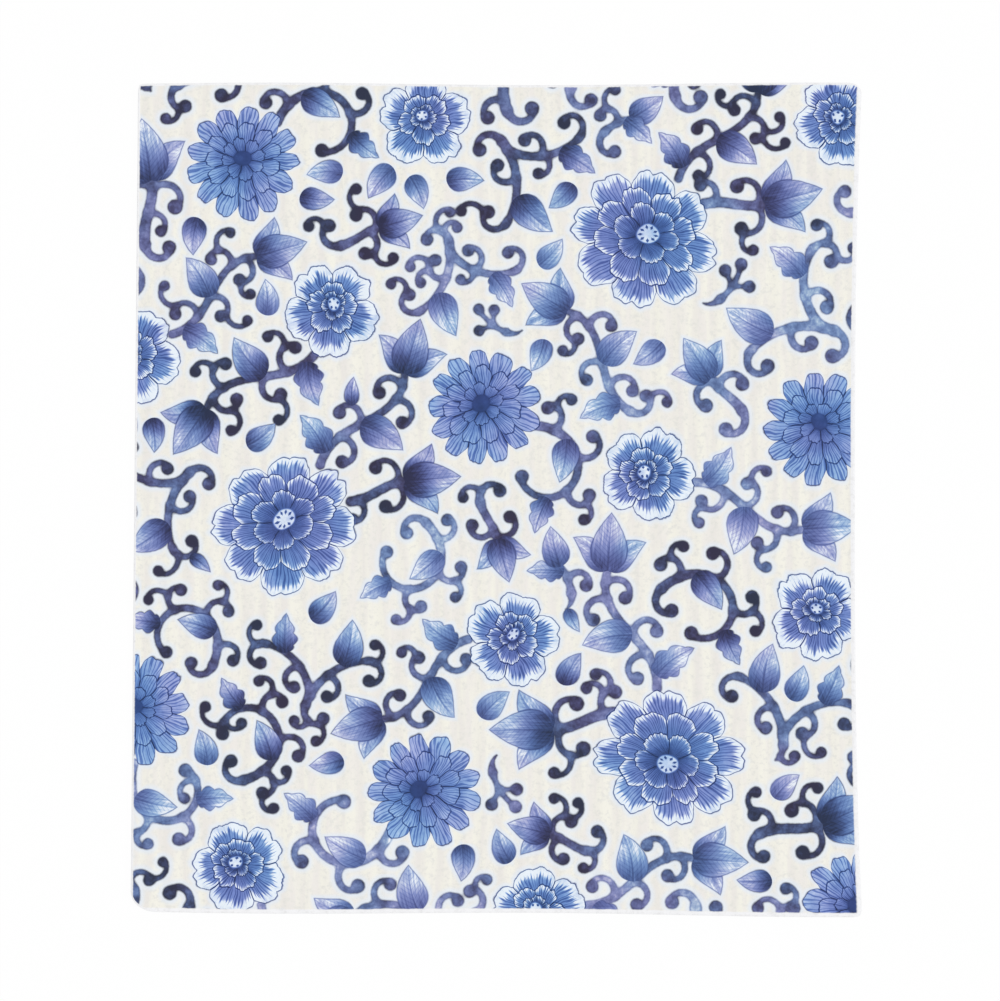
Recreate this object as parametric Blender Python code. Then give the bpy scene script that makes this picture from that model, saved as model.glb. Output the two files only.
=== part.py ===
"""Sponge cleaning cloth: one flat piece of cellulose and cotton sponge.

The real cloth is cast and dried as a long sheet with ribs along its length, printed on
its ribbed face, and cut out with a die that presses the rim of that face down. The model
is made in the same order: a length of ribbed sheet, then a soft-shouldered die, and what
the two share is the cloth. +Y runs along the ribs, the ribbed face looks up along +Z, and
the plain underside lies on Z = 0 with the middle of the outline at the origin. Metres.
"""

import math

import bmesh
import bpy

# The die's nominal size: across the ribs, and along them
WIDTH = 0.1715
LENGTH = 0.1970

# The sheet: its full thickness over a rib's crest, and its ribs
THICKNESS = 0.0018
RIB_PITCH = 0.00465
RIB_HEIGHT = 0.00035
RIB_SHIFT = -0.00035  # how far the middle groove lies from the cloth's centre line
RIB_FACETS = 8

# The die's corners
BACK_LEFT_RADIUS = 0.0011
BACK_RIGHT_RADIUS = 0.0027
FRONT_LEFT_RADIUS = 0.0050
FRONT_RIGHT_RADIUS = 0.0016
CORNER_FACETS = 6
SIDE_SPANS = 18

# The rim that the die presses down: how far it reaches in from the cut, and how deep
RIM_REACH = 0.0007
RIM_DEPTH = 0.0007
RIM_FACETS = 4

# What drying does to the cut outline
RIGHT_FLARE = 0.0017  # how far the right side's ends stand out from its middle
FLARE_POWER = 2.7  # a higher power keeps more of that side straight
LEFT_LEAN = 0.0009  # the left side leans in by this at the back and out at the front
FRONT_SLANT = 0.00055  # the front edge rises by this at the left and drops at the right
EDGE_WAVE = 0.0003  # height of the slow waves in the front and back edges
EDGE_WAVE_SPAN = 0.129  # length of one such wave
EDGE_WAVE_START = -0.054  # where along X one of its crests lies

# How far the sheet and the die run past each other before the cut
OVERRUN = 0.006

CREAM = (0.835, 0.835, 0.805, 1.0)
SPONGE_ROUGHNESS = 0.95


def clear_scene():
    """Removes whatever the open file holds."""
    for thing in list(bpy.data.objects):
        bpy.data.objects.remove(thing)


def add_object(name, mesh):
    """Puts a mesh into the scene as an object of its own."""
    thing = bpy.data.objects.new(name, mesh)
    bpy.context.scene.collection.objects.link(thing)
    return thing


def rib_profile():
    """The sheet's section from left to right: shallow arcs that meet in sharp grooves."""
    half_count = math.ceil((WIDTH / 2 + OVERRUN) / RIB_PITCH)
    arc_radius = (RIB_PITCH ** 2 / 4 + RIB_HEIGHT ** 2) / (2 * RIB_HEIGHT)
    crest_line = [(RIB_SHIFT - half_count * RIB_PITCH, THICKNESS - RIB_HEIGHT)]
    for rib in range(-half_count, half_count):
        middle = RIB_SHIFT + (rib + 0.5) * RIB_PITCH
        for facet in range(1, RIB_FACETS + 1):
            across = (facet / RIB_FACETS - 0.5) * RIB_PITCH
            drop = arc_radius - math.sqrt(arc_radius ** 2 - across ** 2)
            crest_line.append((middle + across, THICKNESS - drop))
    left = crest_line[0][0]
    right = crest_line[-1][0]
    return [(left, 0.0)] + crest_line + [(right, 0.0)]


def ribbed_sheet():
    """A length of the sheet, its section drawn across X and run out along Y."""
    bm = bmesh.new()
    start = -LENGTH / 2 - OVERRUN
    outline = [bm.verts.new((x, start, z)) for x, z in rib_profile()]
    section = bm.faces.new(outline)
    run = bmesh.ops.extrude_face_region(bm, geom=[section])
    far_end = [item for item in run["geom"] if isinstance(item, bmesh.types.BMVert)]
    bmesh.ops.translate(bm, verts=far_end, vec=(0.0, LENGTH + 2 * OVERRUN, 0.0))
    bmesh.ops.recalc_face_normals(bm, faces=bm.faces)
    mesh = bpy.data.meshes.new("ribbed_sheet")
    bm.to_mesh(mesh)
    bm.free()
    mesh.shade_smooth()
    mesh.set_sharp_from_angle(angle=math.radians(25))
    return mesh


def die_outline(inset):
    """The die's plan as it was made: straight sides and four arcs, moved in by inset."""
    half_width = WIDTH / 2 - inset
    half_length = LENGTH / 2 - inset
    corners = [
        (1, 1, BACK_RIGHT_RADIUS),
        (-1, 1, BACK_LEFT_RADIUS),
        (-1, -1, FRONT_LEFT_RADIUS),
        (1, -1, FRONT_RIGHT_RADIUS),
    ]
    arcs = []
    for turn, (side_x, side_y, full_radius) in enumerate(corners):
        radius = max(full_radius - inset, full_radius / 5)
        centre_x = side_x * (half_width - radius)
        centre_y = side_y * (half_length - radius)
        angles = [(turn + step / CORNER_FACETS) * math.pi / 2 for step in range(CORNER_FACETS + 1)]
        arcs.append([(centre_x + radius * math.cos(a), centre_y + radius * math.sin(a)) for a in angles])
    points = []
    for arc, following in zip(arcs, arcs[1:] + arcs[:1]):
        points.extend(arc)
        (x0, y0), (x1, y1) = arc[-1], following[0]
        for step in range(1, SIDE_SPANS):
            share = step / SIDE_SPANS
            points.append((x0 + (x1 - x0) * share, y0 + (y1 - y0) * share))
    return points


def dried(x, y):
    """Where a point of the die's plan lies once the cloth has dried and relaxed."""
    across = 2 * x / WIDTH
    along = 2 * y / LENGTH
    rightness = (1 + across) / 2
    frontness = (1 - along) / 2
    flare = RIGHT_FLARE * (abs(along) ** FLARE_POWER - 1 / (FLARE_POWER + 1))
    wave = EDGE_WAVE * math.cos(2 * math.pi * (x - EDGE_WAVE_START) / EDGE_WAVE_SPAN)
    moved_x = x + rightness * flare + (1 - rightness) * LEFT_LEAN * along
    moved_y = y - frontness * FRONT_SLANT * across + wave * along
    return moved_x, moved_y


def cutting_die():
    """The die as a closed block: straight walls, then a shoulder that rolls in over the rim."""
    cut = [dried(x, y) for x, y in die_outline(0.0)]
    centre_x = (min(x for x, _ in cut) + max(x for x, _ in cut)) / 2
    centre_y = (min(y for _, y in cut) + max(y for _, y in cut)) / 2
    shoulder = THICKNESS - RIM_DEPTH
    levels = [(0.0, -OVERRUN), (0.0, shoulder)]
    for facet in range(1, RIM_FACETS + 1):
        roll = facet / RIM_FACETS * math.pi / 2
        levels.append((RIM_REACH * (1 - math.cos(roll)), shoulder + RIM_DEPTH * math.sin(roll)))
    levels.append((RIM_REACH, THICKNESS + OVERRUN))
    bm = bmesh.new()
    loops = []
    for inset, height in levels:
        plan = [dried(x, y) for x, y in die_outline(inset)]
        loops.append([bm.verts.new((x - centre_x, y - centre_y, height)) for x, y in plan])
    for lower, upper in zip(loops, loops[1:]):
        for here in range(len(lower)):
            after = (here + 1) % len(lower)
            bm.faces.new((lower[here], lower[after], upper[after], upper[here]))
    bm.faces.new(list(reversed(loops[0])))
    bm.faces.new(loops[-1])
    mesh = bpy.data.meshes.new("cutting_die")
    bm.to_mesh(mesh)
    bm.free()
    return mesh


def sponge_material():
    """Undyed cream sponge, matt and soft."""
    material = bpy.data.materials.new("cream_sponge")
    material.use_nodes = True
    shader = material.node_tree.nodes["Principled BSDF"]
    shader.inputs["Base Color"].default_value = CREAM
    shader.inputs["Roughness"].default_value = SPONGE_ROUGHNESS
    shader.inputs["Metallic"].default_value = 0.0
    material.diffuse_color = CREAM
    return material


def make_cloth():
    """The cloth: the part of the ribbed sheet that lies inside the die."""
    die = add_object("die", cutting_die())
    die.hide_render = True
    die.display_type = "WIRE"
    cloth = add_object("cloth", ribbed_sheet())
    cloth.data.materials.append(sponge_material())
    cut = cloth.modifiers.new("die_cut", "BOOLEAN")
    cut.operation = "INTERSECT"
    cut.solver = "EXACT"
    cut.object = die
    return cloth


clear_scene()
make_cloth()
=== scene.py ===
"""The looks of a printed sponge cleaning cloth, lying flat and seen from straight above.

The camera comes first, then the cloth with its ribs, its print and its sponge, and then
the floor and the light. Lengths are in metres, apart from the print's, which are in
millimetres as a textile designer draws them.
"""

import math
import bpy
import numpy as np
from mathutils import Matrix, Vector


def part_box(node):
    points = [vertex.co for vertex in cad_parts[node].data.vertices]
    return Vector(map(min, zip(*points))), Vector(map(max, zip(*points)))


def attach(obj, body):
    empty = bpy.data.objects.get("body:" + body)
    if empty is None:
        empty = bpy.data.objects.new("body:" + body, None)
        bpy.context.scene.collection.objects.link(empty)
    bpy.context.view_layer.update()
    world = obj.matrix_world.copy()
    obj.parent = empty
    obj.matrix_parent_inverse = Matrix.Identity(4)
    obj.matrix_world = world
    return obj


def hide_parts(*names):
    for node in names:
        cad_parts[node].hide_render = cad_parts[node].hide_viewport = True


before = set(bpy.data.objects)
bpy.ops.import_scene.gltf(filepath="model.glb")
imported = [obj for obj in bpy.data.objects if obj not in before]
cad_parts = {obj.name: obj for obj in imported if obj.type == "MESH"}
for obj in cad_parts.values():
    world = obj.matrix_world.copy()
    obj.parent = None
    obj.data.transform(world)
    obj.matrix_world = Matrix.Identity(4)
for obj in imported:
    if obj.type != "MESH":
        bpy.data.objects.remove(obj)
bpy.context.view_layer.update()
CLOTH_LOW, CLOTH_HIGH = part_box("cloth")


def add_object(name, data):
    """Puts a mesh, a camera or a light into the scene as an object of its own."""
    thing = bpy.data.objects.new(name, data)
    bpy.context.scene.collection.objects.link(thing)
    return thing


# The view: a long lens that looks straight down on the cloth, which lies a little to the
# left of the picture's middle.
PICTURE_WIDTH = 0.2372
LEFT_OF_MIDDLE = 0.0009
ABOVE_MIDDLE = 0.00014
LENS = 150.0
SENSOR = 36.0

view = bpy.data.cameras.new("view")
view.lens = LENS
view.sensor_width = SENSOR
view.sensor_fit = "HORIZONTAL"
view.clip_start = 0.05
camera = add_object("view", view)
camera.location = (LEFT_OF_MIDDLE, -ABOVE_MIDDLE, CLOTH_HIGH[2] + PICTURE_WIDTH * LENS / SENSOR)
bpy.context.scene.camera = camera


# The cloth: a sheet of cellulose and cotton sponge, cast with ribs along its length,
# printed on its ribbed face, and cut out with a die that rolls the rim of that face down.
# Drying then pulls the cut outline a little out of true.
WIDTH = 0.1715
LENGTH = 0.1970
THICKNESS = CLOTH_HIGH[2]
RIGHT_FLARE = 0.0017
FLARE_POWER = 2.7
LEFT_LEAN = 0.0009
# How far the middle of the dried outline's box lies from the die's middle
DRIED_MIDDLE = (RIGHT_FLARE * (1 - 1 / (FLARE_POWER + 1)) - LEFT_LEAN) / 2
CLOTH_SIZES = {
    "Width": WIDTH, "Length": LENGTH, "Thickness": THICKNESS,
    "Rib Pitch": 0.00465, "Rib Height": 0.00035, "Rib Shift": -0.00035 + DRIED_MIDDLE,
    "Rim Reach": 0.0007, "Rim Depth": 0.0007,
    "Right Flare": RIGHT_FLARE, "Flare Power": FLARE_POWER, "Left Lean": LEFT_LEAN,
    "Front Slant": 0.00055, "Edge Wave": 0.0003, "Wave Span": 0.129, "Wave Start": -0.054,
    "Unevenness": 0.035,  # how much of its thickness the sponge loses in its thin places
    "Raggedness": 0.00006, "Seed": 5.0,
    "Back Left Radius": 0.0011, "Back Right Radius": 0.0027,
    "Front Left Radius": 0.0050, "Front Right Radius": 0.0016,
}
EDGE_BAND = 0.0035  # only this much of the sheet beside the left and right cuts gives way
UNEVEN_SCALE = 38.0
RAGGED_SCALE = 900.0
RIM_RINGS = 4
WALL_RINGS = 3
COLUMNS_PER_RIB = 8
ROW_STEP = 0.0008
MERGING_GAP = 0.00001


def operator(operation, flipped=False):
    """A method of Wire that adds a Math node, with the wire as its first value or as its last."""

    def method(self, *values):
        values = (*values, self) if flipped else (self, *values)
        return self.node("ShaderNodeMath", {"operation": operation}, dict(enumerate(values)))

    return method


class Wire:
    """A node's socket in a formula: each operator of Python adds the Math node it stands for."""

    __add__ = __radd__ = operator("ADD")
    __sub__ = operator("SUBTRACT")
    __rsub__ = operator("SUBTRACT", flipped=True)
    __mul__ = __rmul__ = operator("MULTIPLY")
    __truediv__ = operator("DIVIDE")
    __rtruediv__ = operator("DIVIDE", flipped=True)
    __pow__ = operator("POWER")
    __abs__ = operator("ABSOLUTE")
    __gt__ = operator("GREATER_THAN")
    least = operator("MINIMUM")
    most = operator("MAXIMUM")

    def __init__(self, tree, socket=None):
        self.tree = tree
        self.socket = socket

    def __neg__(self):
        return self * -1.0

    def math(self, operation, *values):
        """A Math node that has this socket as its first value."""
        return operator(operation)(self, *values)

    def node(self, kind, settings=None, inputs=None, output=0):
        """Any other node: its settings and a ramp's stops, then its sockets' values or links."""
        made = self.tree.nodes.new(kind)
        for name, value in (settings or {}).items():
            if name == "stops":
                made.color_ramp.elements[0].color = value[0][1]
                made.color_ramp.elements[1].color = value[-1][1]
                for place, colour in value[1:-1]:
                    made.color_ramp.elements.new(place).color = colour
            else:
                setattr(made, name, value)
        for name, value in (inputs or {}).items():
            if isinstance(value, Wire):
                self.tree.links.new(value.socket, made.inputs[name])
            else:
                made.inputs[name].default_value = value
        return Wire(self.tree, made.outputs[output] if made.outputs else None)

    def other(self, output):
        """Another output of the same node."""
        return Wire(self.tree, self.socket.node.outputs[output])

    def held(self):
        """The value kept between 0 and 1."""
        return self.node("ShaderNodeClamp", {}, {0: self})

    def axes(self):
        """A vector's three numbers."""
        parts = self.node("ShaderNodeSeparateXYZ", {}, {0: self})
        return parts, parts.other(1), parts.other(2)

    def vector(self, x, y, z):
        """A vector of three numbers."""
        return self.node("ShaderNodeCombineXYZ", {}, {0: x, 1: y, 2: z})

    def noise(self, spot, scale=1.0, detail=2.0, roughness=0.5, output=0):
        """A soft noise at a place."""
        sizes = {"Vector": spot, "Scale": scale, "Detail": detail, "Roughness": roughness}
        return self.node("ShaderNodeTexNoise", {}, sizes, output)


def socket_names(tree, names):
    """Gives a geometry tree its ports: geometry in and out, and one number for each name."""
    for way in ("INPUT", "OUTPUT"):
        tree.interface.new_socket(name="Geometry", in_out=way, socket_type="NodeSocketGeometry")
    return {
        name: tree.interface.new_socket(name=name, in_out="INPUT", socket_type="NodeSocketFloat").identifier
        for name in names
    }


def cloth_tree(names, material):
    """The tree that grids the die's plan, rolls its rim, closes it below and dries it."""
    tree = bpy.data.node_groups.new("cloth_sheet", "GeometryNodeTree")
    identifiers = socket_names(tree, names)
    sheet = Wire(tree)
    ports = sheet.node("NodeGroupInput")
    size = {name: ports.other(name) for name in names}

    def keep(geometry, kind, name, value, chosen=True):
        """Stores a value under a name at the geometry's chosen points."""
        return sheet.node("GeometryNodeStoreNamedAttribute", {"data_type": kind}, {
            "Geometry": geometry, "Selection": chosen, "Name": name, "Value": value,
        })

    def kept(kind, name):
        """The value that is stored under a name."""
        return sheet.node("GeometryNodeInputNamedAttribute", {"data_type": kind}, {"Name": name})

    half_width = size["Width"] / 2 - size["Rim Reach"]
    half_length = size["Length"] / 2 - size["Rim Reach"]

    # An even grid with a column on every groove, cut back to the die's inner line
    columns = (size["Width"] / size["Rib Pitch"]).math("CEIL") * COLUMNS_PER_RIB
    rows = (size["Length"] / ROW_STEP).math("CEIL")
    grid = sheet.node("GeometryNodeMeshGrid", {}, {
        "Size X": columns * size["Rib Pitch"] / COLUMNS_PER_RIB,
        "Size Y": half_length * 2,
        "Vertices X": columns + 1,
        "Vertices Y": rows + 1,
    })
    spot = sheet.node("GeometryNodeInputPosition")
    x, y, _ = spot.axes()
    x = x + size["Rib Shift"]
    x = x.most(-half_width).least(half_width)

    # Each corner's square of the grid is rounded to a quarter of a disc
    at_right = x > 0
    at_back = y > 0
    back = at_right * size["Back Right Radius"] + (1 - at_right) * size["Back Left Radius"]
    front = at_right * size["Front Right Radius"] + (1 - at_right) * size["Front Left Radius"]
    radius = at_back * back + (1 - at_back) * front - size["Rim Reach"]
    middle_x = half_width - radius
    middle_y = half_length - radius
    out_x = ((abs(x) - middle_x) / radius).held()
    out_y = ((abs(y) - middle_y) / radius).held()
    round_x = out_x * (1 - out_y * out_y / 2).math("SQRT")
    round_y = out_y * (1 - out_x * out_x / 2).math("SQRT")
    x = x + x.math("SIGN") * (round_x - out_x) * radius
    y = y + y.math("SIGN") * (round_y - out_y) * radius
    outward = sheet.vector(x.math("SIGN") * round_x, y.math("SIGN") * round_y, 0.0)
    outward = sheet.node("ShaderNodeVectorMath", {"operation": "NORMALIZE"}, {0: outward})
    cloth = keep(grid, "FLOAT_VECTOR", "outward", outward)
    place = sheet.vector(x, y, 0.0)
    cloth = sheet.node("GeometryNodeSetPosition", {}, {"Geometry": cloth, "Position": place})
    cloth = keep(cloth, "FLOAT", "ceiling", size["Thickness"])

    # The rim's rings step out and down over the die's shoulder, then down the cut wall
    outward_x, outward_y, _ = kept("FLOAT_VECTOR", "outward").axes()
    shoulder = size["Thickness"] - size["Rim Depth"]
    raggedness = (sheet.noise(spot, RAGGED_SCALE) - 0.5) * size["Raggedness"]
    steps = []
    reached = 0.0
    for ring in range(RIM_RINGS - 1, -1, -1):
        roll = ring / RIM_RINGS * math.pi / 2
        height = shoulder + size["Rim Depth"] * math.sin(roll)
        steps.append((size["Rim Reach"] * (math.cos(roll) - reached), height))
        reached = math.cos(roll)
    for ring in range(WALL_RINGS - 1, -1, -1):
        steps.append((raggedness * (ring > 0), shoulder * (ring / WALL_RINGS)))
    neighbours = sheet.node("GeometryNodeInputMeshEdgeNeighbors")
    chosen = neighbours.node("FunctionNodeCompare", {"data_type": "INT", "operation": "EQUAL"}, {
        2: neighbours, 3: 1,
    })
    for step, height in steps:
        cloth = sheet.node("GeometryNodeExtrudeMesh", {"mode": "EDGES"}, {
            "Mesh": cloth, "Selection": chosen, "Offset Scale": 0.0,
        })
        chosen = cloth.other("Top")
        offset = sheet.vector(outward_x * step, outward_y * step, 0.0)
        cloth = sheet.node("GeometryNodeSetPosition", {}, {
            "Geometry": cloth, "Selection": chosen, "Offset": offset,
        })
        cloth = keep(cloth, "FLOAT", "ceiling", height, chosen)

    # Drying moves the outline, and the ribs stay straight
    cloth = keep(cloth, "FLOAT_VECTOR", "plan", spot)
    x, y, _ = spot.axes()
    across = 2 * x / size["Width"]
    along = 2 * y / size["Length"]
    near_right = ((x - half_width) / EDGE_BAND + 1).held()
    near_left = ((-half_width - x) / EDGE_BAND + 1).held()
    mean_flare = 1 / (size["Flare Power"] + 1)
    flare = size["Right Flare"] * (abs(along) ** size["Flare Power"] - mean_flare)
    wave = ((x - size["Wave Start"]) / size["Wave Span"] * math.tau).math("COSINE") * size["Edge Wave"]
    dried_x = x + near_right * flare + near_left * size["Left Lean"] * along
    dried_y = y - (1 - along) / 2 * size["Front Slant"] * across + wave * along

    # The ribs swell and sink softly, and the sponge is thicker in some places
    phase = (dried_x - size["Rib Shift"]) / size["Rib Pitch"] * math.tau
    dome = (1 - phase.math("COSINE")) / 2
    slow = sheet.node("ShaderNodeTexNoise", {"noise_dimensions": "4D"}, {
        "Vector": spot, "W": size["Seed"], "Scale": UNEVEN_SCALE, "Detail": 3.0,
    })
    thinning = 1 - size["Unevenness"] * slow
    ribbed = size["Thickness"] - size["Rib Height"] * (1 - dome)
    place = sheet.vector(dried_x, dried_y, ribbed.least(kept("FLOAT", "ceiling")) * thinning)
    cloth = sheet.node("GeometryNodeSetPosition", {}, {"Geometry": cloth, "Position": place})

    # The plain underside fills the lowest ring
    ring = sheet.node("GeometryNodeMeshToCurve", {}, {"Mesh": cloth, "Selection": chosen})
    below = sheet.node("GeometryNodeFillCurve", {"mode": "NGONS"}, {"Curve": ring})
    normal_z = sheet.node("GeometryNodeInputNormal").axes()[2]
    below = sheet.node("GeometryNodeFlipFaces", {}, {"Mesh": below, "Selection": normal_z > 0})
    joined = sheet.node("GeometryNodeJoinGeometry")
    for part in (below, cloth):
        tree.links.new(part.socket, joined.socket.node.inputs[0])
    cloth = sheet.node("GeometryNodeMergeByDistance", {}, {"Geometry": joined, "Distance": MERGING_GAP})
    cloth = sheet.node("GeometryNodeSetShadeSmooth", {}, {
        "Geometry": cloth, "Shade Smooth": normal_z > -0.9,
    })
    cloth = sheet.node("GeometryNodeRealizeInstances", {}, {"Geometry": cloth})
    cloth = sheet.node("GeometryNodeSetMaterial", {}, {"Geometry": cloth, "Material": material})
    sheet.node("NodeGroupOutput", {}, {"Geometry": cloth})
    return tree, identifiers


def read(things, name, width=1, kind=np.float32):
    """One property of all of a mesh's vertices, corners or faces, in rows of a width."""
    values = np.zeros(len(things) * width, kind)
    things.foreach_get(name, values)
    return values.reshape(-1, width) if width > 1 else values


def sheet_mesh(material):
    """The cloth's mesh, made by its tree and set in the middle of the CAD cloth's box."""
    tree, identifiers = cloth_tree(list(CLOTH_SIZES), material)
    maker = add_object("cloth_maker", bpy.data.meshes.new("cloth_maker"))
    growth = maker.modifiers.new("cloth_sheet", "NODES")
    growth.node_group = tree
    for name, value in CLOTH_SIZES.items():
        growth[identifiers[name]] = value
    evaluated = maker.evaluated_get(bpy.context.evaluated_depsgraph_get())
    mesh = bpy.data.meshes.new_from_object(evaluated)
    bpy.data.objects.remove(maker)
    mesh.name = "printed_cloth"
    spots = read(mesh.vertices, "co", 3)
    box_middle = (spots.min(0) + spots.max(0)) / 2
    wanted = (np.array(CLOTH_LOW) + np.array(CLOTH_HIGH)) / 2
    spots[:, :2] += (wanted - box_middle)[:2]
    mesh.vertices.foreach_set("co", spots.ravel())
    mesh.update()
    return mesh


# The print's artwork: blossoms listed one by one, and sprays that grow by rule into the ground
# between them. Millimetres and degrees, from the cloth's middle. A ring of petals has its
# count, reach and notch, then the dye at its root and edge, and its pale rim's width.
BLOSSOM_KINDS = {
    "large": {
        "radius": 18.3, "squash": 1.10, "head": (0.15, 0.10, 9), "rings": [
            (8, 0.98, 0.05, 0.60, 0.21, 2.1),
            (8, 0.70, 0.03, 0.68, 0.26, 1.2),
            (6, 0.43, 0.0, 0.84, 0.32, 0.8),
        ],
    },
    "solid": {
        "radius": 13.9, "squash": 1.0, "head": (0.15, 0.80, 0), "rings": [
            (13, 0.98, 0.0, 0.42, 0.16, -1.5),
            (11, 0.68, 0.0, 0.50, 0.20, -1.5),
            (8, 0.38, 0.0, 0.7, 0.26, -1.5),
        ],
    },
    "rimmed": {
        "radius": 11.7, "squash": 1.0, "head": (0.14, 0.05, 5), "rings": [
            (5, 0.97, 0.07, 0.60, 0.21, 2.5),
            (5, 0.56, 0.05, 0.68, 0.30, 1.0),
            (5, 0.30, 0.0, 0.88, 0.56, 0.8),
        ],
    },
}
BLOSSOMS = {
    "large": [(-50, -6, 20), (35, 62, -35), (41, -61, 160)],
    "solid": [(-60, 80, 0), (-3, 22, 40), (77, 17, 15), (-17, -69, 70), (-86, -50, 10), (86, -97, 30)],
    "rimmed": [(-17, 90, 15), (82, 90, 50), (-39, 45, -20), (36, 6, 65), (4, -33, 5),
               (-61, -87, 40), (76, -27, -10), (10, -98, 25), (-86, 34, 60)],
}
LINE_STEP = 0.35
STEM_FULLNESS = 1.06
LEAF_FULLNESS = 1.28
SPRAY_SIZES = (0.92, 1.08)
SPRAY_SHADES = (0.37, 0.80)
SPRAY_GAP = 0.7
SPRAY_TRIES = 1400
SPROUT_GAP = 0.6
SPROUT_TRIES = 18
SPROUT_HALF = 0.8
SPROUT_BALL = 1.4
LEAFY_SHARE = 0.4
JOINT_ROOM = 6.0  # a spray may touch its blossom's ink this near to its root
SPROUT_JOINT_ROOM = 3.1  # and a sprout its stem's ink this near to its own
OVERHANG = 3.0  # a spray in a gap may have its root this far beyond the cut
LAYOUT_SEED = 11
FIELD_CELL = 0.75
FIELD_MARGIN = 12.0
HALF_ACROSS = WIDTH * 500
HALF_ALONG = LENGTH * 500


class Stroke:
    """One line of the print: its points and headings, its half widths and its depth of dye."""

    def __init__(self, place, length, turn, sway, tightening, root, tip, darkening):
        x, y, heading, self.shade = place
        self.length = length
        self.root = root
        self.tip = tip
        self.darkening = darkening
        count = max(int(length / LINE_STEP), 8) + 1
        run = np.linspace(0.0, 1.0, count)
        swaying = math.radians(sway) * np.sin(math.pi * run)
        self.heading = heading + swaying + math.radians(turn) * run ** tightening
        middle = (self.heading[1:] + self.heading[:-1]) / 2
        step = length / (count - 1)
        self.x = x + np.concatenate([[0.0], np.cumsum(np.cos(middle)) * step])
        self.y = y + np.concatenate([[0.0], np.cumsum(np.sin(middle)) * step])
        self.bend = np.gradient(self.heading) / step
        self.run = run

    def dye(self, run):
        """How deep the dye is at a share of the line's length."""
        return self.shade + self.darkening * run * run

    def place(self, run):
        """Where the line is at a share of its length, its heading there and its dye."""
        index = round(run * (len(self.run) - 1))
        return self.x[index], self.y[index], self.heading[index], self.dye(run)


def leaf_swell(run):
    """How wide a leaf is along its length, as a share of its widest."""
    return 2.6 * run ** 0.5 * (1 - run)


class Spray:
    """A spray of stems, hooks, leaves and buds, grown from its root."""

    def __init__(self, x=0.0, y=0.0, heading=0.0, hand=1, size=1.0, shade=0.5):
        self.start = (x, y, heading, shade)
        self.hand = hand
        self.size = size
        self.stems = []
        self.leaves = []
        self.dots = []

    def branch(self, parent, run, angle):
        """The place and heading of something that leaves a stem at an angle."""
        x, y, heading, shade = parent.place(run)
        return x, y, heading + self.hand * math.radians(angle), shade

    def line(self, place, length, turn, sway, tightening, root, tip, darkening):
        return Stroke(
            place, length * self.size, turn * self.hand, sway * self.hand, tightening,
            root * self.size, tip, darkening,
        )

    def stem(self, place, length, turn=0, sway=0, tightening=1.0, root=1.0, tip=0.8, darkening=0.14):
        root *= STEM_FULLNESS
        tip *= STEM_FULLNESS * self.size
        made = self.line(place, length, turn, sway, tightening, root, tip, darkening)
        self.stems.append(made)
        return made

    def ball(self, place, radius, side=0):
        """A ball of ink at a stem's end, drawn in towards the side that the stem curls to."""
        x, y, heading, shade = place
        shift = 0.3 * radius * side * self.hand
        x -= shift * math.sin(heading)
        y += shift * math.cos(heading)
        self.dots.append((x, y, radius * self.size, shade + 0.08))

    def hook(self, parent, run, angle, length, turn=172, ball=1.6):
        """A branch that curls back to its own side and ends in a ball."""
        side = math.copysign(1, angle)
        made = self.stem(self.branch(parent, run, angle), length, side * turn, 0, 1.3, 0.86, 0.70)
        self.ball(made.place(1.0), ball, side)
        return made

    def leaf(self, parent, run, angle, length, half, turn=0, lobes=0.0):
        place = self.branch(parent, run, angle)
        self.leaves.append(self.line(place, length, turn, 0, 1.0, half * LEAF_FULLNESS, lobes, 0.0))

    def bud(self, parent, run, angle, length):
        """A closed flower: two outer petals that bend away, and one between them."""
        self.leaf(parent, run, angle + 30, length * 0.84, length * 0.19, 40)
        self.leaf(parent, run, angle - 30, length * 0.84, length * 0.19, -40)
        self.leaf(parent, run, angle, length, length * 0.25)

    def discs(self):
        """Discs that cover the spray's ink, one row each: x, y and radius."""
        rows = [np.array(self.dots)[:, :3]] if self.dots else []
        for stem in self.stems:
            rows.append(np.stack([stem.x, stem.y, np.full(len(stem.x), stem.root)], 1)[::3])
        for leaf in self.leaves:
            rows.append(np.stack([leaf.x, leaf.y, leaf.root * leaf_swell(leaf.run)], 1)[::3])
        return np.concatenate(rows)


def tail(spray):
    """The curled end of a stalk that springs from no blossom."""
    x, y, heading, shade = spray.start
    curl = spray.stem((x, y, heading + math.pi, shade), 9.0, -165, 0, 1.2, 1.0, 0.72)
    spray.ball(curl.place(1.0), 1.65, -1)


def nib(spray):
    """The drawn-out point of a stalk that springs from no blossom."""
    x, y, heading, shade = spray.start
    spray.stem((x, y, heading + math.pi, shade), 4.2, -60, 0, 1.3, 1.0, 0.22)


def scroll(spray):
    """A long swaying stalk with hooks and leaves by turns, which ends in a hook and a bud."""
    stalk = spray.stem(spray.start, 31, turn=-15, sway=55, root=1.1, tip=0.9)
    spray.leaf(stalk, 0.10, -50, 11, 2.9, -30, 3.0)
    spray.hook(stalk, 0.27, 52, 10.0)
    spray.leaf(stalk, 0.46, 46, 12, 3.1, 26)
    spray.hook(stalk, 0.46, -52, 9.5)
    spray.hook(stalk, 0.78, 54, 9.5)
    spray.hook(stalk, 0.90, -52, 9.5)
    spray.bud(stalk, 1.0, 16, 13.5)


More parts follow.
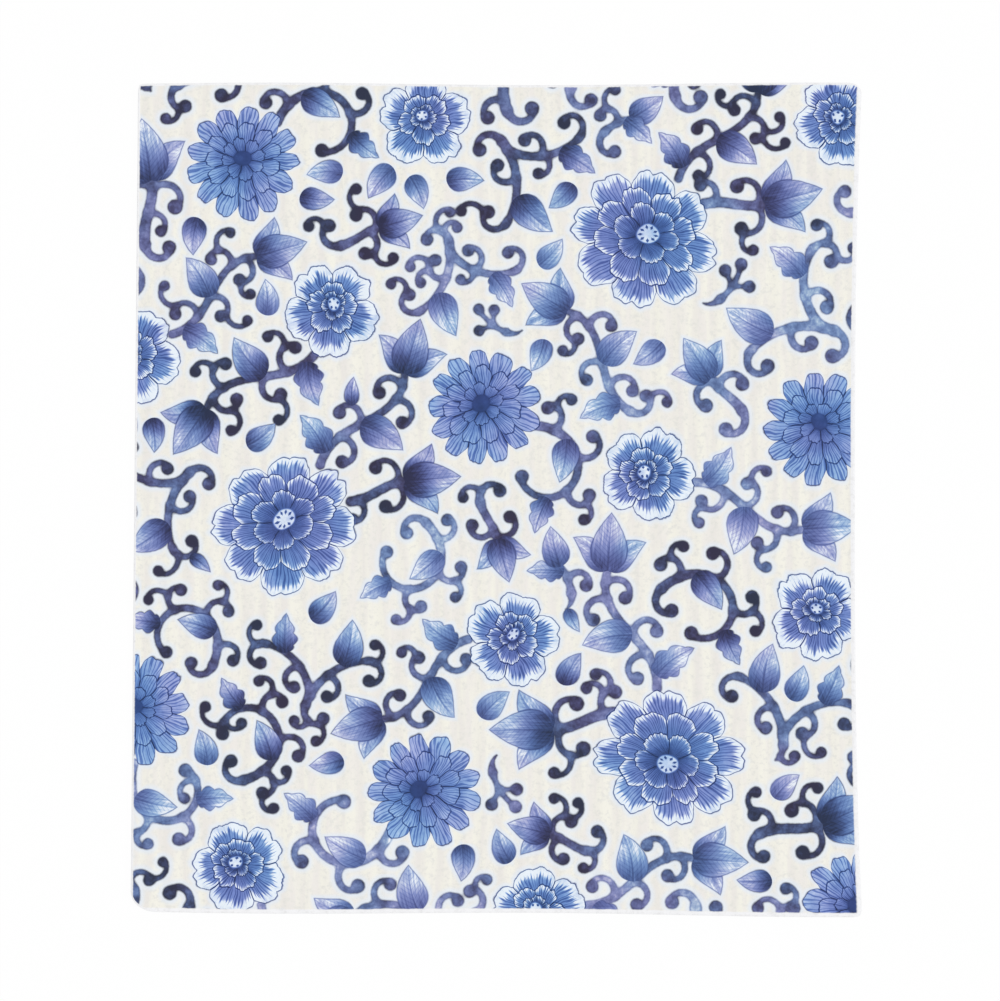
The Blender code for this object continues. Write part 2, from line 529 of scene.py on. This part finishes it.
def crest(spray):
    """A bowed stalk with hooks along its outer side and leaves inside it."""
    stalk = spray.stem(spray.start, 36, turn=250, tightening=1.3, root=1.15, tip=0.8)
    spray.ball(stalk.place(1.0), 1.65, 1)
    spray.hook(stalk, 0.14, -56, 9.0)
    spray.hook(stalk, 0.38, -56, 10.0)
    spray.hook(stalk, 0.62, -56, 9.0)
    spray.leaf(stalk, 0.24, 46, 10.5, 2.6, 18)
    spray.leaf(stalk, 0.76, -60, 9, 2.4, -18, 3.0)


def crown(spray):
    """A stout trunk with a large bud between two hooks."""
    trunk = spray.stem(spray.start, 15, sway=24, root=1.3, tip=1.15)
    spray.hook(trunk, 0.88, 62, 11, 165, 1.75)
    spray.hook(trunk, 0.88, -62, 11, 165, 1.75)
    spray.bud(trunk, 1.0, 0, 14.5)
    spray.hook(trunk, 0.16, -62, 8.0, 150)


def fork(spray):
    """Two arms that part and bend away, each with a hook and leaves."""
    left = spray.stem(spray.start, 21, turn=70, root=1.15, tip=0.85)
    right = spray.stem(spray.branch(left, 0.12, -34), 19, turn=-75, root=1.1, tip=0.85)
    spray.hook(left, 0.96, 8, 10.0, 200)
    spray.hook(right, 0.96, -8, 10.0, 200)
    spray.hook(left, 0.45, 58, 9.0)
    spray.leaf(left, 0.66, -46, 12, 3.0, -20)
    spray.leaf(right, 0.66, 46, 10, 2.6, 18, 3.0)
    spray.hook(right, 0.42, -58, 9.0)


def twig(spray):
    """A little stalk with a hook at each side and a bud between them."""
    stalk = spray.stem(spray.start, 10, sway=16, root=1.1, tip=0.9)
    spray.hook(stalk, 0.92, 60, 9.0, 160)
    spray.hook(stalk, 0.74, -60, 8.5, 160)
    spray.bud(stalk, 1.0, 0, 11)


def pair(spray):
    """Two leaves and a hook on a short stalk."""
    stalk = spray.stem(spray.start, 7, turn=30, root=0.95, tip=0.8)
    spray.hook(stalk, 0.55, -60, 8.0)
    spray.leaf(stalk, 1.0, -16, 10, 2.6, -14)
    spray.leaf(stalk, 0.8, 48, 9, 2.3, 20, 3.0)


def berries(spray):
    """Three berries on a bent stalk."""
    stalk = spray.stem(spray.start, 9.5, turn=40, root=0.7, tip=0.6)
    spray.ball(stalk.place(1.0), 1.5)
    for angle in (58, -58):
        stalklet = spray.stem(spray.branch(stalk, 0.42, angle), 3.9, root=0.6, tip=0.5)
        spray.ball(stalklet.place(1.0), 1.5)


def leaflet(spray):
    """A single loose leaf."""
    spray.leaf(Stroke(spray.start, 1.0, 0, 0, 1.0, 0, 0, 0), 0.0, 0, 9, 2.3, 26)


class Ground:
    """How far each small cell of the ground lies from the nearest ink."""

    def __init__(self):
        self.reach = (HALF_ACROSS + FIELD_MARGIN, HALF_ALONG + FIELD_MARGIN)
        lines = [np.arange(-reach, reach, FIELD_CELL) for reach in self.reach]
        self.x, self.y = np.meshgrid(*lines, indexing="ij")
        self.free = np.full(self.x.shape, np.inf)

    def ink(self, discs):
        for x, y, radius in discs:
            np.minimum(self.free, np.hypot(self.x - x, self.y - y) - radius, out=self.free)

    def room(self, x, y, radius):
        """How much free ground is left round discs, less their own radius."""
        cells = tuple(
            ((spot + reach) / FIELD_CELL).round().astype(int).clip(0, size - 1)
            for spot, reach, size in zip((x, y), self.reach, self.free.shape)
        )
        return self.free[cells] - radius


def grow(parts, ground, dice, places, root_room):
    """Tries a kind of spray at many places, and keeps the one that packs closest.

    places has a row for each try: x, y and heading. Nothing is tested within root_room
    of the root, where a spray joins its blossom.
    """
    best = None
    for hand in (1, -1):
        size = dice.uniform(*SPRAY_SIZES)
        model = Spray(hand=hand, size=size)
        for part in parts:
            part(model)
        discs = model.discs()
        disc_x, disc_y, radius = discs[np.hypot(discs[:, 0], discs[:, 1]) > root_room].T
        x, y, heading = places.T[:, :, None]
        spot_x = x + disc_x * np.cos(heading) - disc_y * np.sin(heading)
        spot_y = y + disc_x * np.sin(heading) + disc_y * np.cos(heading)
        room = ground.room(spot_x, spot_y, radius)
        looseness = np.where(room.min(1) > SPRAY_GAP, room.mean(1), np.inf)
        tightest = looseness.argmin()
        if looseness[tightest] < (best[0] if best else np.inf):
            best = (looseness[tightest], *places[tightest], hand, size)
    if best is None:
        return []
    spray = Spray(*best[1:], dice.uniform(*SPRAY_SHADES))
    for part in parts:
        part(spray)
    ground.ink(spray.discs())
    return [spray]


def sprout(spray, ground, dice):
    """Lets small hooks and leaves grow from a spray's stems wherever the ground has room."""
    for stem in list(spray.stems):
        for run in dice.uniform(0.1, 0.95, SPROUT_TRIES):
            angle = dice.choice((-1, 1)) * dice.uniform(50, 66)
            side = math.copysign(1, angle)
            length = dice.uniform(5.5, 8.5)
            place = spray.branch(stem, run, angle)
            leafy = dice.random() < LEAFY_SHARE
            if leafy:
                length *= 1.15
                made = spray.line(place, length, side * 20, 0, 1.0, length * 0.27, 3.0 * (length > 8), 0.0)
                radius = made.root * leaf_swell(made.run)
            else:
                turn = side * dice.uniform(125, 165)
                made = spray.line(place, length, turn, 0, 1.3, SPROUT_HALF, 0.64, 0.14)
                radius = np.where(made.run > 0.9, SPROUT_BALL, SPROUT_HALF)
            beyond = made.run * made.length > SPROUT_JOINT_ROOM
            if ground.room(made.x[beyond], made.y[beyond], radius[beyond]).min() < SPROUT_GAP:
                continue
            (spray.leaves if leafy else spray.stems).append(made)
            if not leafy:
                spray.ball(made.place(1.0), SPROUT_BALL, side)
            ground.ink(np.stack([made.x, made.y, radius], 1)[::3])


def lay_out():
    """The whole print: its blossoms, sprays from each, sprays in the gaps, and sprouts."""
    dice = np.random.default_rng(LAYOUT_SEED)
    ground = Ground()
    blossoms = [(kind, *spot) for kind, spots in BLOSSOMS.items() for spot in spots]
    ground.ink([(x, y, BLOSSOM_KINDS[kind]["radius"] * 0.97) for kind, x, y, _ in blossoms])
    sprays = []
    for kind, x, y, _ in blossoms:
        radius = BLOSSOM_KINDS[kind]["radius"] * 0.9
        for shape in {"large": (scroll, crown), "solid": (crest,), "rimmed": (scroll,)}[kind]:
            places = np.array([
                (x + radius * math.cos(angle), y + radius * math.sin(angle), angle + lean)
                for angle in np.radians(np.arange(0, 360, 10))
                for lean in np.radians((-40, -15, 15, 40))
            ])
            sprays += grow((shape,), ground, dice, places, JOINT_ROOM)
    gap_fillers = (
        ((scroll, tail), 3), ((fork, tail), 6), ((crest, tail), 4), ((crown, tail), 10), ((fork, nib), 10),
        ((twig, tail), 18), ((twig, nib), 26), ((pair, tail), 16), ((pair, nib), 34),
        ((berries, nib), 12), ((leaflet,), 34),
    )
    for parts, count in gap_fillers:
        if berries in parts:
            for spray in list(sprays):
                sprout(spray, ground, dice)
        for _ in range(count):
            places = np.stack([
                dice.uniform(-HALF_ACROSS - OVERHANG, HALF_ACROSS + OVERHANG, SPRAY_TRIES),
                dice.uniform(-HALF_ALONG - OVERHANG, HALF_ALONG + OVERHANG, SPRAY_TRIES),
                dice.uniform(0, math.tau, SPRAY_TRIES),
            ], 1)
            sprays += grow(parts, ground, dice, places, 0.0)
    return blossoms, sprays


# The artwork on the mesh: each face's corners hold where they lie along and across the
# stroke that the face carries, or from the middle of its dot or blossom. A face carries
# one shape for each layer, and shapes that cross are in different layers.
STEM_LAYERS = 3
LEAF_LAYERS = 3
DOT_LAYERS = 2
CORE_REACH = 0.5
HALO_REACH = 1.7  # a little more than the halo's own width
FAR = 99.0
LEAST_BEND = 0.0001  # a straighter stroke is taken as bent by this


class Layer:
    """One layer of the artwork: some vectors at every corner, and which faces are taken."""

    def __init__(self, name, parts, corner_count, face_count):
        self.name = name
        self.vectors = [np.ones((corner_count, 3), np.float32) for _ in range(parts)]
        self.vectors[0][:] = (FAR, FAR, 0.0)
        self.taken = np.zeros(face_count, bool)


class PrintedFaces:
    """The mesh's small faces in millimetres, and the shapes that are laid on them."""

    def __init__(self, mesh):
        self.mesh = mesh
        self.waiting = []
        corners = read(mesh.loops, "vertex_index", kind=np.int32)
        starts = read(mesh.polygons, "loop_start", kind=np.int32)
        totals = read(mesh.polygons, "loop_total", kind=np.int32)
        self.corner_xy = read(mesh.vertices, "co", 3)[corners][:, :2].astype(float) * 1000
        self.face_corners = starts[totals == 4][:, None] + np.arange(4)
        self.middle = self.corner_xy[self.face_corners].mean(1)

    def layers(self, name, count, parts):
        sizes = (len(self.corner_xy), len(self.middle))
        return [Layer(f"{name}_{number}", parts, *sizes) for number in range(count)]

    def near(self, x, y, reach):
        """The faces whose middles lie within reach of the box round some points."""
        across, along = self.middle.T
        inside = (across > np.min(x) - reach) & (across < np.max(x) + reach)
        return np.flatnonzero(inside & (along > np.min(y) - reach) & (along < np.max(y) + reach))

    def lay(self, layers, faces, gap, place, sizes):
        """Lays a shape in the first layer with room for it; its halo waits for the other shapes."""
        core = gap < CORE_REACH
        layer = min(layers, key=lambda layer: layer.taken[faces[core]].sum())
        self.fill(layer, faces[core], place[core], sizes)
        halo = (gap >= CORE_REACH) & (gap < HALO_REACH)
        self.waiting.append((layer, faces[halo], place[halo], sizes))

    def fill(self, layer, faces, place, sizes):
        """Writes a shape to those of the faces that no other shape has taken."""
        free = ~layer.taken[faces]
        layer.taken[faces[free]] = True
        corners = self.face_corners[faces[free]].ravel()
        layer.vectors[0][corners] = place[free].reshape(-1, 3)
        for vector, size in zip(layer.vectors[1:], sizes):
            vector[corners] = size

    def lay_stroke(self, layers, stroke, swell):
        """Gives the faces beside a stroke their run along it and their side of it."""
        reach = max(stroke.root, 1.2) + HALO_REACH + 0.7
        faces = self.near(stroke.x, stroke.y, reach)
        middle = self.middle[faces]
        away = np.hypot(middle[:, :1] - stroke.x, middle[:, 1:] - stroke.y)
        nearest = away.argmin(1)
        close = away[np.arange(len(faces)), nearest] < reach
        faces, nearest = faces[close], nearest[close]
        if not len(faces):
            return
        corners = self.corner_xy[self.face_corners[faces]]
        off_x = corners[..., 0] - stroke.x[nearest][:, None]
        off_y = corners[..., 1] - stroke.y[nearest][:, None]
        cosine = np.cos(stroke.heading[nearest])[:, None]
        sine = np.sin(stroke.heading[nearest])[:, None]
        ahead = off_x * cosine + off_y * sine
        aside = off_y * cosine - off_x * sine
        bend = stroke.bend[nearest][:, None]
        bend = np.where(np.abs(bend) < LEAST_BEND, LEAST_BEND, bend)
        hand = np.sign(bend)
        side = 1 / bend - hand * np.hypot(ahead, aside - 1 / bend)
        along = np.arctan2(ahead, (1 / bend - aside) * hand) / np.abs(bend)
        run = stroke.run[nearest][:, None] + along / stroke.length
        past = np.maximum(np.maximum(run - 1, -run), 0) * stroke.length
        gap = (np.hypot(side, past) - swell(run.clip(0, 1))).min(1)
        place = np.stack([run, side, stroke.dye(run.clip(0, 1))], 2)
        self.lay(layers, faces, gap, place, [(stroke.root, stroke.tip, stroke.length)])

    def lay_round(self, layers, x, y, turn, scale, radius, last, sizes):
        """Gives the faces round a middle their place from it, turned and scaled."""
        faces = self.near(x, y, radius + HALO_REACH)
        if not len(faces):
            return
        corners = self.corner_xy[self.face_corners[faces]]
        off_x = corners[..., 0] - x
        off_y = corners[..., 1] - y
        gap = (np.hypot(off_x, off_y) - radius).min(1)
        cosine, sine = math.cos(turn), math.sin(turn)
        place = np.stack([
            (off_x * cosine + off_y * sine) / scale,
            (off_y * cosine - off_x * sine) / scale,
            np.full(off_x.shape, last),
        ], 2)
        self.lay(layers, faces, gap, place, sizes)

    def finish(self, layers):
        """Adds the halos that waited, and writes every layer to the mesh."""
        for halo in self.waiting:
            self.fill(*halo)
        for layer in layers:
            for part, values in enumerate(layer.vectors):
                attribute = self.mesh.attributes.new(f"{layer.name}_{part}", "FLOAT_VECTOR", "CORNER")
                attribute.data.foreach_set("vector", values.ravel())


def print_artwork(mesh):
    """Lays the print out and puts it on the mesh, layer by layer."""
    blossoms, sprays = lay_out()
    faces = PrintedFaces(mesh)
    stems = faces.layers("stem", STEM_LAYERS, 2)
    leaves = faces.layers("leaf", LEAF_LAYERS, 2)
    dots = faces.layers("dot", DOT_LAYERS, 2)
    flowers = faces.layers("blossom", 1, 9)
    for spray in sprays:
        for stem in spray.stems:
            faces.lay_stroke(stems, stem, lambda run: stem.root + (stem.tip - stem.root) * run)
        for leaf in spray.leaves:
            faces.lay_stroke(leaves, leaf, lambda run: leaf.root * leaf_swell(run))
        for x, y, radius, shade in spray.dots:
            faces.lay_round(dots, x, y, 0.0, 1.0, radius, shade, [(radius, 0.0, 0.0)])
    for number, (kind, x, y, turn) in enumerate(blossoms):
        looks = BLOSSOM_KINDS[kind]
        radius = looks["radius"]
        sizes = [(radius, looks["squash"], 0.0)]
        for ring in looks["rings"]:
            sizes.extend((ring[:3], ring[3:]))
        sizes.append(looks["head"])
        faces.lay_round(flowers, x, y, math.radians(turn), radius, radius * 1.08, number * 0.37, sizes)
    faces.finish(stems + leaves + dots + flowers)


# A flat map of the cloth for baking: the printed face to one scale, the underside squeezed
# beside it, and the cut wall as a lane at the map's edge.
BAKE_SPAN = 0.2
UNDERSIDE_PLACE = (0.885, 0.095)
WALL_PLACE = (0.987, 0.011)


def map_for_baking(mesh):
    """Gives each corner its place in the flat map, by which way its face looks."""
    corners = read(mesh.loops, "vertex_index", kind=np.int32)
    starts = read(mesh.polygons, "loop_start", kind=np.int32)
    totals = read(mesh.polygons, "loop_total", kind=np.int32)
    upward = np.repeat(read(mesh.polygons, "normal", 3)[:, 2], totals)
    x, y, z = read(mesh.vertices, "co", 3)[corners].astype(float).T
    turn = np.arctan2(y, x) / math.tau
    first = np.repeat(turn[starts], totals)
    turn = first + (turn - first + 0.5) % 1.0 - 0.5
    from_left = x - CLOTH_LOW[0]
    width = CLOTH_HIGH[0] - CLOTH_LOW[0]
    looks_up = upward > 0.15
    looks_down = upward < -0.5
    u = np.where(looks_up, from_left / BAKE_SPAN, WALL_PLACE[0] + z / THICKNESS * WALL_PLACE[1])
    u = np.where(looks_down, UNDERSIDE_PLACE[0] + from_left / width * UNDERSIDE_PLACE[1], u)
    v = np.where(looks_up | looks_down, (y - CLOTH_LOW[1]) / BAKE_SPAN, (turn + 0.5) * 0.97 + 0.01)
    flat_map = mesh.uv_layers.new(name="OFBake")
    flat_map.uv.foreach_set("vector", np.stack([u, v + 0.002], 1).ravel().astype(np.float32))


# The dye and the sponge
STALK_INKS = [
    (0.00, (0.850, 0.880, 0.950, 1.0)),
    (0.14, (0.440, 0.508, 0.685, 1.0)),
    (0.32, (0.214, 0.276, 0.510, 1.0)),
    (0.55, (0.114, 0.149, 0.318, 1.0)),
    (0.78, (0.060, 0.070, 0.154, 1.0)),
    (1.00, (0.034, 0.036, 0.069, 1.0)),
]
PETAL_INKS = [
    (0.00, (0.816, 0.884, 0.953, 1.0)),
    (0.14, (0.380, 0.508, 0.780, 1.0)),
    (0.32, (0.173, 0.278, 0.600, 1.0)),
    (0.55, (0.081, 0.145, 0.410, 1.0)),
    (0.78, (0.036, 0.067, 0.215, 1.0)),
    (1.00, (0.019, 0.031, 0.085, 1.0)),
]
CREAM = (0.901, 0.884, 0.801, 1.0)
ROSE_CREAM = (0.850, 0.820, 0.783, 1.0)
FLECK = (0.800, 0.790, 0.745, 1.0)
HALO = (0.785, 0.846, 0.928, 1.0)
# The bare sponge of the rim, wall and underside: partly its own colour, and partly painted light, made whiter
# and bluer than the ground so the rolled rim looks lit from the side.
BARE_WITH_PAINTED_LIGHT = (0.905, 0.905, 0.922, 1.0)
BARE_FLECK_WITH_PAINTED_LIGHT = (0.835, 0.832, 0.840, 1.0)
PRINT_CEILING = THICKNESS - 0.00008  # no dye where the rim has rolled down below this
PRINT_END = 6000.0  # and how sharply it ends there
EDGE_SOFTNESS = 0.28
FORK_FILLET = 1.5
BALL_FILLET = 1.1
RING_TURNS = (0.0, 0.5, 0.25)  # how far each ring of petals is turned, in petals
HALO_WIDTH = 1.6
SHAKE_SCALE = 900.0
MOTTLE_SCALE = 330.0
HUE_SCALE = 55.0
STREAK_SCALE = 45.0
FLECK_SCALE = 1000.0
PORE_SCALE = 1700.0
PORE_DEPTH = 0.00012
SPONGE_ROUGHNESS = 0.95
NARROW_MARGIN = 0.5
WIDE_MARGIN = 1.0


def mixed(low, high, mask):
    """A number that goes from low to high as the mask goes from 0 to 1."""
    return mask.node("ShaderNodeMix", {"data_type": "FLOAT"}, {0: mask, 2: low, 3: high})


def blended(low, high, mask, way="MIX"):
    """A colour that goes from low to high as the mask goes from 0 to 1."""
    return mask.node("ShaderNodeMix", {"data_type": "RGBA", "blend_type": way}, {0: mask, 6: low, 7: high}, 2)


def eased(value, low, high):
    """0 where the value is at low, 1 where it is at high, and smooth between them."""
    return value.node("ShaderNodeMapRange", {"interpolation_type": "SMOOTHSTEP"}, {0: value, 1: low, 2: high})


def stored(wire, name):
    """The three numbers of one of the mesh's attributes."""
    return wire.node("ShaderNodeAttribute", {"attribute_name": name}, {}, "Vector").axes()


def span(x, y):
    """How long the line from the middle to a place is."""
    return (x * x + y * y).math("SQRT")


def inked(gap):
    """How much ink lies at a gap in millimetres from a shape's edge, less than 0 inside."""
    return eased(gap, EDGE_SOFTNESS, -EDGE_SOFTNESS)


def over(gap, depth, upper_gap, upper_depth):
    """Lays a shape over what is drawn so far: the joint gap, and the dye's depth."""
    return gap.least(upper_gap), mixed(depth, upper_depth, inked(upper_gap))


def stem_shape(artwork):
    """The stems and balls run together: the gap to their edge, and the dye's depth."""
    gap = depth = None
    for number in range(STEM_LAYERS):
        run, side, shade = stored(artwork, f"stem_{number}_0")
        root, tip, length = stored(artwork, f"stem_{number}_1")
        past = (run - 1).most(-run).most(0.0) * length
        here = span(side, past) - mixed(root, tip, run)
        if gap is None:
            gap, depth = here, shade
        else:
            depth = mixed(depth, shade, eased(here - gap, 0.5, -0.5))
            gap = gap.math("SMOOTH_MIN", here, FORK_FILLET)
    for number in range(DOT_LAYERS):
        x, y, shade = stored(artwork, f"dot_{number}_0")
        radius = stored(artwork, f"dot_{number}_1")[0]
        here = span(x, y) - radius
        depth = mixed(depth, shade, eased(here, 0.9, -0.3))
        gap = gap.math("SMOOTH_MIN", here, BALL_FILLET)
    return gap, depth


def leaf_shape(artwork, number, mottle, shake):
    """A layer of leaves: deep at the root and pale at the tip, with veins and a midrib."""
    run, side, shade = stored(artwork, f"leaf_{number}_0")
    half, lobes, length = stored(artwork, f"leaf_{number}_1")
    inner = run.held()
    lobed = abs((inner * lobes * math.pi).math("COSINE")) * 0.26 + 0.74
    width = half * 2.6 * inner.math("SQRT") * (1 - inner) * lobed
    past = (run - 1).most(-run).most(0.0) * length
    gap = abs(side) - width + past + shake
    depth = mixed(shade + 0.14, shade * 0.16 + 0.01, eased(inner + mottle, -0.05, 0.70)) + (side > 0) * 0.06
    strokes = artwork.noise(artwork.vector(inner * length * 0.3, side * 2.4, shade * 40 + length))
    depth = depth + mottle + (strokes - 0.5) * 0.55
    vein = abs((inner * length * 0.85 - abs(side) * 0.8).math("FRACT") - 0.5)
    depth = depth + eased(vein, 0.20, 0.04) * eased(gap, -0.55, -1.0) * 0.08
    midrib = eased(abs(side), 0.26, 0.10) * (1 - inner) * 0.7
    return gap, mixed(depth, shade * 0.5 + 0.5, midrib.most(eased(gap, -0.34, -0.1) * 0.85))


def petal_ring(artwork, x, y, ring, radius, lines, hatch, ruffle):
    """A ring of petals: hatched from their deep roots to a ragged edge, with pale rims."""
    count, reach, notch = stored(artwork, f"blossom_0_{2 + ring * 2}")
    root, edge, rim_width = stored(artwork, f"blossom_0_{3 + ring * 2}")
    rho = span(x, y)
    turn = y.math("ARCTAN2", x) / math.tau + 0.5
    across = abs((turn * count + RING_TURNS[ring]).math("FRACT") * 2 - 1)
    rim = reach * (1 - across ** 2.7 * 0.24) - (1 - across * 3).held() ** 2 * notch
    gap = (rho - rim) * radius + ruffle
    side = (1 - across) * rho * radius / count * math.pi
    share = rho / rim
    inset = (-gap).least(side * 1.4 + (1 - share) * 6)
    dyed = eased(inset + hatch * 2.6 + lines * 0.8, rim_width - 0.6, rim_width + 0.8)
    depth = mixed(root, edge, share + hatch * 0.3) + lines * 0.27 + eased(side, 0.9, 0.1) * 0.12
    outline = eased(abs(gap + 0.12).least(side * 1.3), 0.24, 0.10)
    return gap, mixed(depth * dyed + lines * 0.03, 1.0, outline * 0.92)


def blossom_shape(artwork):
    """The blossoms: three rings of petals round a head, drawn a little unevenly."""
    x, y, seed = stored(artwork, "blossom_0_0")
    radius, squash, _ = stored(artwork, "blossom_0_1")
    wobble = artwork.noise(artwork.vector(x * 1.6, y * 1.6, seed * 5), output="Color")
    wobble_x, wobble_y, _ = wobble.axes()
    x = x + (wobble_x - 0.5) * 0.22
    y = y * squash + (wobble_y - 0.5) * 0.22
    rho = span(x, y)
    streak = artwork.vector(x / rho * 16, y / rho * 16, rho * 2.2 + seed * 9)
    hatch = artwork.noise(streak, detail=1.0) - 0.5
    angle = y.math("ARCTAN2", x)
    lines = eased(abs((angle * (radius * 0.94) + hatch * 1.6).math("FRACT") - 0.5), 0.25, 0.08)
    ruffle = (angle * (radius * 2.0)).math("SINE") * 0.14 + hatch * 0.5
    gap, depth = petal_ring(artwork, x, y, 0, radius, lines, hatch, ruffle)
    for ring in (1, 2):
        upper = petal_ring(artwork, x, y - 0.04 * ring, ring, radius, lines, hatch, ruffle)
        gap, depth = over(gap, depth, *upper)
    y = y - 0.1
    head, head_depth, seeds = stored(artwork, "blossom_0_8")
    rho = span(x, y)
    head_gap = (rho - head) * radius
    speck = abs((y.math("ARCTAN2", x) / math.tau * seeds).math("FRACT") - 0.5)
    speck = eased(speck + abs(rho / head - 0.62) * 1.3, 0.36, 0.2)
    head_dye = mixed(head_depth, 0.9, (speck * 0.8).most(eased(head_gap, -0.5, 0.0) * 0.7))
    return over(gap, depth, head_gap, head_dye)


def dye_sponge(material):
    """The printed sponge's nodes: the drawing, the dye, the cream ground and the pores."""
    tree = material.node_tree
    artwork = Wire(tree)
    position = artwork.node("ShaderNodeTexCoord", {}, {}, "Object")

    def grain(scale, detail=2.0, stretch=(1.0, 1.0, 1.0)):
        spot = artwork.node("ShaderNodeVectorMath", {"operation": "MULTIPLY"}, {0: position, 1: stretch})
        return artwork.noise(spot, scale, detail, 0.62)

    shake = (grain(SHAKE_SCALE) - 0.5) * 0.3
    mottle = grain(MOTTLE_SCALE, 3.0) - 0.5

    gap, depth = stem_shape(artwork)
    gap = gap + shake
    depth = depth + eased(gap, -0.5, -0.05) * 0.2 + mottle * 1.35 - 0.07
    petals = 0.0
    for number in range(LEAF_LAYERS):
        upper_gap, upper_depth = leaf_shape(artwork, number, mottle * 0.5, shake * 0.7)
        gap, depth = over(gap, depth, upper_gap, upper_depth)
        petals = inked(upper_gap).most(petals)
    upper_gap, upper_depth = blossom_shape(artwork)
    gap, depth = over(gap, depth, upper_gap, upper_depth + mottle * 0.35)
    petals = inked(upper_gap).most(petals * 0.45)

    # The dye stops short of the cut, a little further at the right and in front, and where
    # the rim rolls down, so it never reaches the wall or the underside
    plan_x, plan_y, _ = stored(artwork, "plan")
    within = (plan_x * 1000 + (HALF_ACROSS - NARROW_MARGIN)).least(HALF_ACROSS - WIDE_MARGIN - plan_x * 1000)
    within = within.least(plan_y * 1000 + (HALF_ALONG - WIDE_MARGIN))
    within = within.least(HALF_ALONG - NARROW_MARGIN - plan_y * 1000)
    within = within.least((stored(artwork, "ceiling")[0] - PRINT_CEILING) * PRINT_END)
    printed = eased(within + shake, -0.1, 0.25)

    stalk_ink = artwork.node("ShaderNodeValToRGB", {"stops": STALK_INKS}, {0: depth})
    petal_ink = artwork.node("ShaderNodeValToRGB", {"stops": PETAL_INKS}, {0: depth})
    ink = blended(stalk_ink, petal_ink, petals)
    hue = blended((0.90, 1.04, 1.02, 1.0), (1.14, 0.96, 1.0, 1.0), eased(grain(HUE_SCALE, 1.0), 0.35, 0.65))
    ink = blended(ink, hue, eased(depth, 0.0, 0.2), "MULTIPLY")

    streaks = eased(grain(STREAK_SCALE, 2.0, (9.0, 1.0, 1.0)), 0.34, 0.66)
    ground = blended(CREAM, ROSE_CREAM, streaks)
    flecks = eased(grain(FLECK_SCALE), 0.46, 0.72)
    halo = eased(gap, HALO_WIDTH, 0.0) * printed
    ground = blended(blended(ground, FLECK, flecks), HALO, halo * 0.9)
    # Where there is no print, the bare sponge, whitened as painted light on the rim.
    ground = blended(blended(BARE_WITH_PAINTED_LIGHT, BARE_FLECK_WITH_PAINTED_LIGHT, flecks), ground, printed)
    shader = tree.nodes["Principled BSDF"]
    tree.links.new(blended(ground, ink, inked(gap) * printed).socket, shader.inputs["Base Color"])
    shader.inputs["Roughness"].default_value = SPONGE_ROUGHNESS
    shader.inputs["Specular IOR Level"].default_value = 0.2
    pores = grain(PORE_SCALE)
    bump = artwork.node("ShaderNodeBump", {}, {"Strength": 0.35, "Distance": PORE_DEPTH, "Height": pores})
    tree.links.new(bump.socket, shader.inputs["Normal"])


sponge = bpy.data.materials.new("printed_sponge")
sponge.use_nodes = True
cloth_mesh = sheet_mesh(sponge)
print_artwork(cloth_mesh)
map_for_baking(cloth_mesh)
dye_sponge(sponge)
cloth_piece = add_object("printed_cloth", cloth_mesh)
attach(cloth_piece, "root")
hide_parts("cloth")


# The floor: a plain white table top, which looks white to the camera and keeps only a
# little of the cloth's shadow. It isn't seen from below, so the underside can be looked at.
FLOOR_REACH = 1.5
FLOOR_COLOUR = (0.95, 0.95, 0.95, 1.0)
FLOOR_DROP = 0.00002  # keeps the floor and the underside from flickering through each other
FLOOR_WHITENESS = 0.94  # the share of plain white in what the camera sees of the floor


def seen_directly(wire):
    """1 for rays that show a surface to the camera, also through gloss or glass, 0 for light."""
    path = wire.node("ShaderNodeLightPath", {}, {}, "Is Camera Ray")
    return path.most(path.other("Is Glossy Ray")).most(path.other("Is Transmission Ray"))


floor_paint = bpy.data.materials.new("white_table")
floor_paint.use_nodes = True
floor_paint.node_tree.nodes.clear()
floor_wire = Wire(floor_paint.node_tree)
floor_mix = floor_wire.node("ShaderNodeMixShader", {}, {
    0: seen_directly(floor_wire) * FLOOR_WHITENESS,
    1: floor_wire.node("ShaderNodeBsdfDiffuse", {}, {"Color": FLOOR_COLOUR}),
    2: floor_wire.node("ShaderNodeEmission", {}, {"Color": (1.0, 1.0, 1.0, 1.0), "Strength": 1.0}),
})
seen_from_below = floor_wire.node("ShaderNodeNewGeometry", {}, {}, "Backfacing")
floor_mix = floor_wire.node("ShaderNodeMixShader", {}, {
    0: seen_from_below, 1: floor_mix, 2: floor_wire.node("ShaderNodeBsdfTransparent"),
})
floor_wire.node("ShaderNodeOutputMaterial", {}, {"Surface": floor_mix})

floor_mesh = bpy.data.meshes.new("floor")
around = ((-1, -1), (1, -1), (1, 1), (-1, 1))
floor_corners = [(x * FLOOR_REACH, y * FLOOR_REACH, -FLOOR_DROP) for x, y in around]
floor_mesh.from_pydata(floor_corners, [], [(0, 1, 2, 3)])
floor_mesh.materials.append(floor_paint)
floor = add_object("floor", floor_mesh)
floor.visible_diffuse = False
floor.visible_shadow = False


# The light: an even white room, and a wide soft lamp at the right that models the ribs.
ROOM_LIGHT = 0.915
LAMP_SHARE = 0.085
LAMP_TILT = math.radians(45)
LAMP_BREADTH = math.radians(12)

world = bpy.data.worlds.new("white_room")
bpy.context.scene.world = world
world.use_nodes = True
world.node_tree.nodes.clear()
room = Wire(world.node_tree)
room_light = room.node("ShaderNodeBackground", {}, {
    "Color": (1.0, 1.0, 1.0, 1.0), "Strength": seen_directly(room) * (1.0 - ROOM_LIGHT) + ROOM_LIGHT,
})
room.node("ShaderNodeOutputWorld", {}, {"Surface": room_light})

lamp_light = bpy.data.lights.new("side_lamp", "SUN")
lamp_light.energy = LAMP_SHARE * math.pi / math.cos(LAMP_TILT)
lamp_light.angle = LAMP_BREADTH
lamp = add_object("side_lamp", lamp_light)
lamp.rotation_euler = (0.0, LAMP_TILT, 0.0)

bpy.context.scene.view_settings.view_transform = "Standard"
